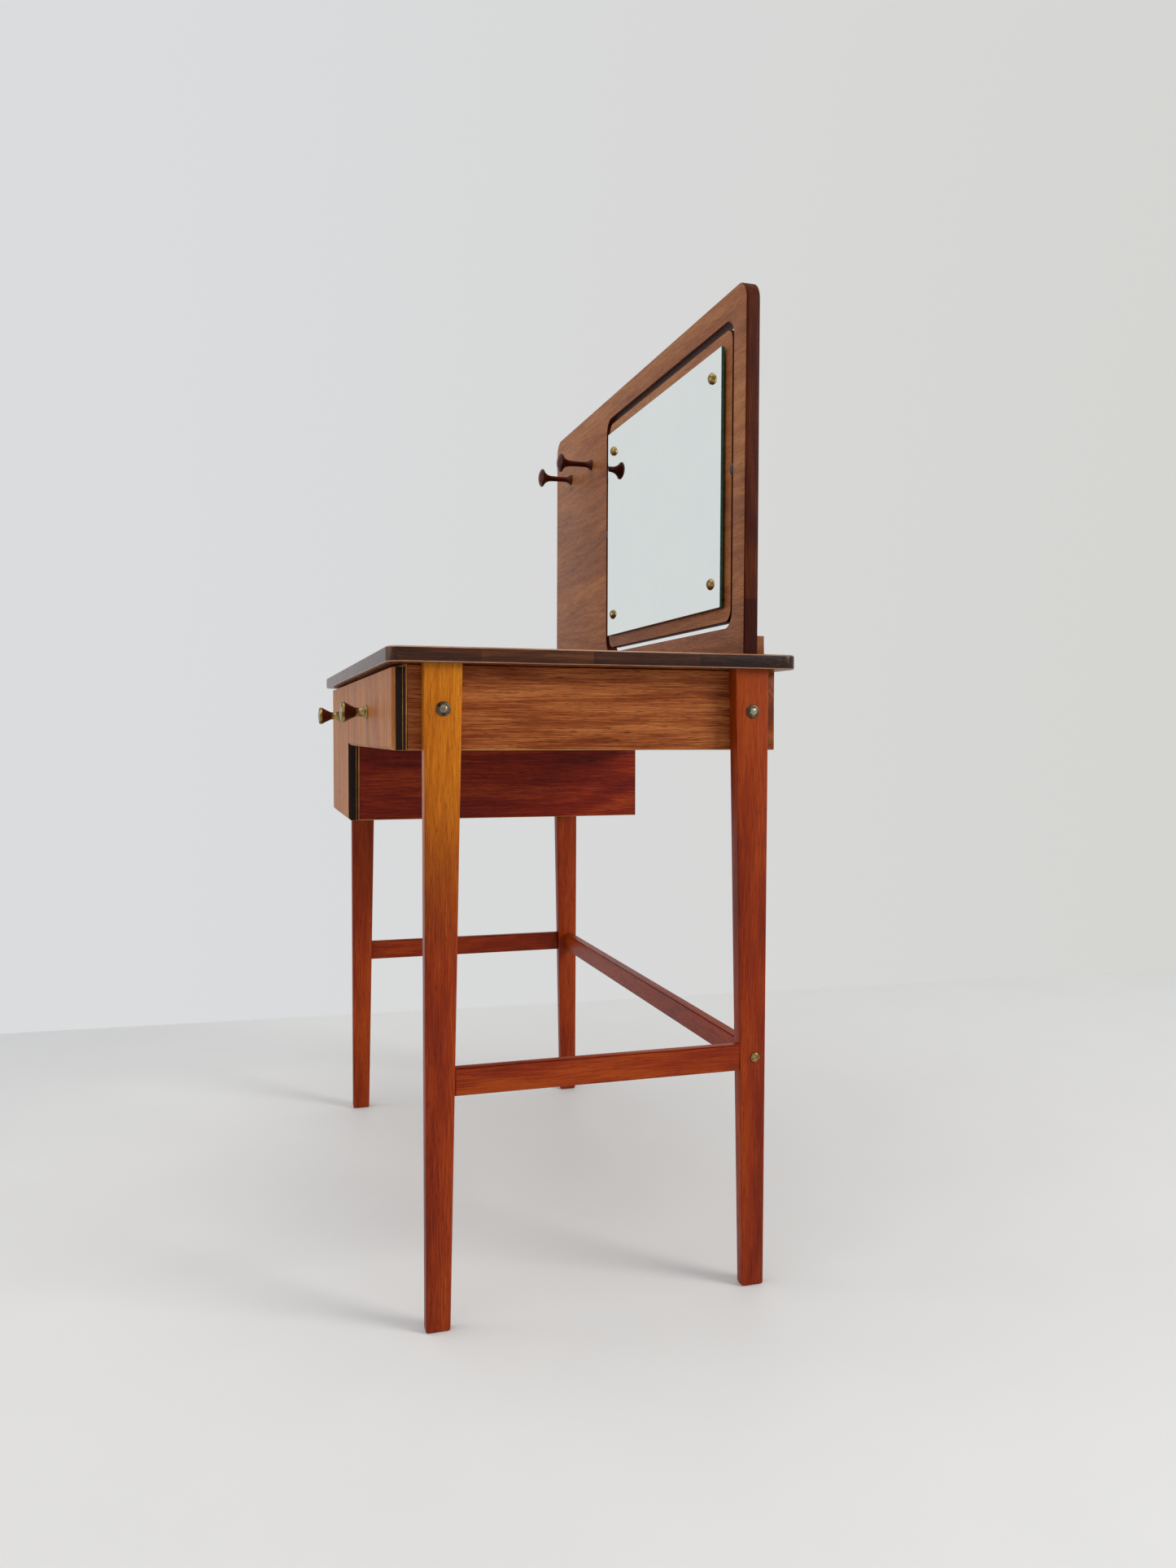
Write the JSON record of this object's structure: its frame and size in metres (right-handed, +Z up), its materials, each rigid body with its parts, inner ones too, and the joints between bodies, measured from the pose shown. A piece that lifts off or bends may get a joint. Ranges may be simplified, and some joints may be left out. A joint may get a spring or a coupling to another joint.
{
  "type": "dressing table with mirror",
  "caption": "Teak dressing table on tapered legs, with a shallow and a deep drawer and an upright panel holding a tilting mirror and turned pegs.",
  "frame": {"origin": "on the floor under the middle of the overall box: halfway across the table, and halfway between the knobs and the rear edge of the top", "axes": "+X to the right seen from the front, +Y to the back, +Z up"},
  "size_m": [0.77, 0.47, 1.1025],
  "materials": {
    "teak_board": "oiled teak veneer on board, plain horizontal grain, satin",
    "teak_front": "oiled teak, vertical grain, satin",
    "teak_solid": "solid teak, lacquered, satin",
    "rosewood_turned": "turned dark red rosewood, polished",
    "beech": "planed beech, bare",
    "plywood": "birch plywood, bare",
    "brass_aged": "turned brass, lightly tarnished",
    "brass_dark": "pressed brass, dark patina",
    "steel_screw": "plain steel",
    "mirror_glass": "silvered float glass with a green edge",
    "felt_pad": "dark felt",
    "fibre_washer": "black vulcanised fibre"
  },
  "bodies": {
    "frame": {"back_board": "teak_board", "back_stretcher": "teak_solid", "case_bottom": "teak_board", "cleat_screws": "steel_screw", "divider": "teak_board", "end_panel_left": "teak_board", "end_panel_right": "teak_board", "front_rail_deep": "beech", "front_rail_wide": "beech", "housing_back": "teak_board", "housing_bottom": "teak_board", "kickers_deep": "beech", "kickers_wide": "beech", "leg_back_left": "teak_solid", "leg_back_right": "teak_solid", "leg_front_left": "teak_solid", "leg_front_right": "teak_solid", "leg_screws": "brass_aged", "leg_washers": "brass_dark", "mirror_panel": "teak_board", "panel_cleat": "teak_board", "peg_left": "teak_solid", "peg_right": "teak_solid", "peg_screws": "steel_screw", "side_stretcher_left": "teak_solid", "side_stretcher_right": "teak_solid", "stretcher_dowels": "beech", "stretcher_screws": "brass_aged", "table_top": "teak_board", "top_screws": "steel_screw"},
    "wide_drawer": {"wide_drawer_back": "beech", "wide_drawer_bottom": "plywood", "wide_drawer_front": "teak_front", "wide_drawer_knob_cap": "brass_aged", "wide_drawer_knob_cone": "rosewood_turned", "wide_drawer_knob_screw": "steel_screw", "wide_drawer_knob_stem": "brass_aged", "wide_drawer_side_left": "beech", "wide_drawer_side_right": "beech"},
    "deep_drawer": {"deep_drawer_back": "beech", "deep_drawer_bottom": "plywood", "deep_drawer_front": "teak_front", "deep_drawer_knob_cap": "brass_aged", "deep_drawer_knob_cone": "rosewood_turned", "deep_drawer_knob_screw": "steel_screw", "deep_drawer_knob_stem": "brass_aged", "deep_drawer_side_left": "beech", "deep_drawer_side_right": "beech"},
    "mirror": {"glass_pads": "felt_pad", "glass_screws": "brass_aged", "mirror_board": "teak_board", "mirror_glass": "mirror_glass", "pivot_pins": "steel_screw", "pivot_washers": "fibre_washer"}
  },
  "joints": [
    {"name": "wide_drawer_slide", "type": "slide", "parent": "frame", "child": "wide_drawer", "axis": [0, -1, 0], "range_m": [0, 0.3]},
    {"name": "deep_drawer_slide", "type": "slide", "parent": "frame", "child": "deep_drawer", "axis": [0, -1, 0], "range_m": [0, 0.3]},
    {"name": "mirror_tilt", "type": "hinge", "parent": "frame", "child": "mirror", "pos_m": [0.11925, 0.181, 0.90625], "axis": [1, 0, 0], "range_deg": [-30, 30]}
  ]
}
